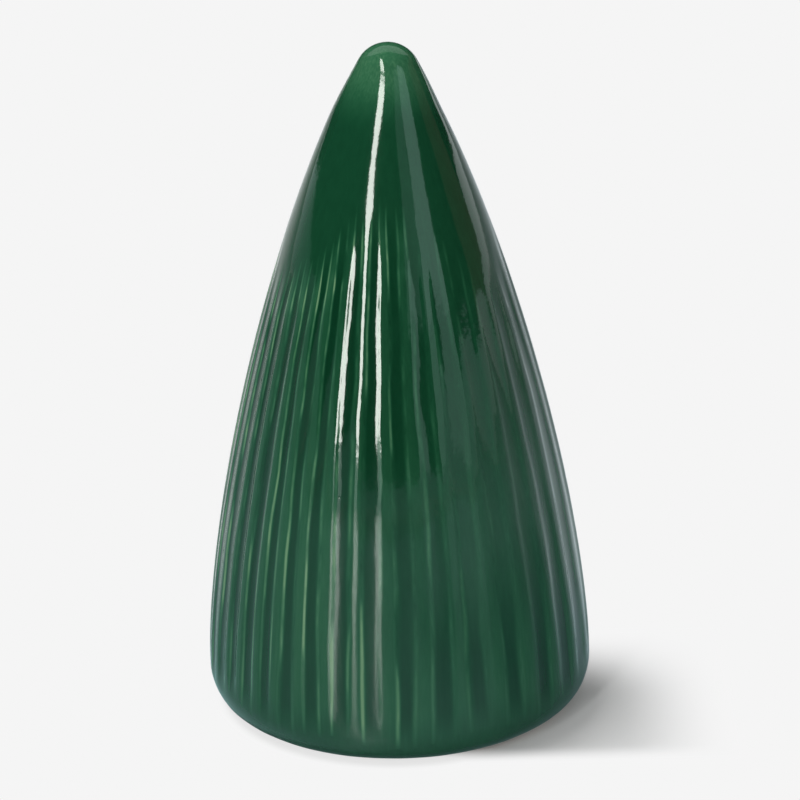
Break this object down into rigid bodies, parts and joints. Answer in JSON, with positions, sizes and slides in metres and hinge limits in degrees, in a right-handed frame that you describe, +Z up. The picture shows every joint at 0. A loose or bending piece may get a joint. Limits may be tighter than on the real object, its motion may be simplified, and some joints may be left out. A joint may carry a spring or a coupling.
{
  "type": "decorative tree",
  "caption": "Ribbed cone-shaped tree ornament in glossy green glazed ceramic, hollow with a vent in the base, on small felt pads.",
  "frame": {"origin": "on the surface that the tree stands on, under its tip", "axes": "+Z up through the tip, -Y towards the front as pictured, +X to its right"},
  "size_m": [0.0742, 0.0742, 0.1305],
  "materials": {
    "glazed_ceramic": "glossy translucent green glaze over stoneware, bare on the foot ring, the recess and inside",
    "felt_pad": "pressed grey wool felt"
  },
  "bodies": {
    "root": {"tree_body": "glazed_ceramic", "foot_pad_1": "felt_pad", "foot_pad_2": "felt_pad", "foot_pad_3": "felt_pad", "foot_pad_4": "felt_pad"}
  },
  "joints": []
}
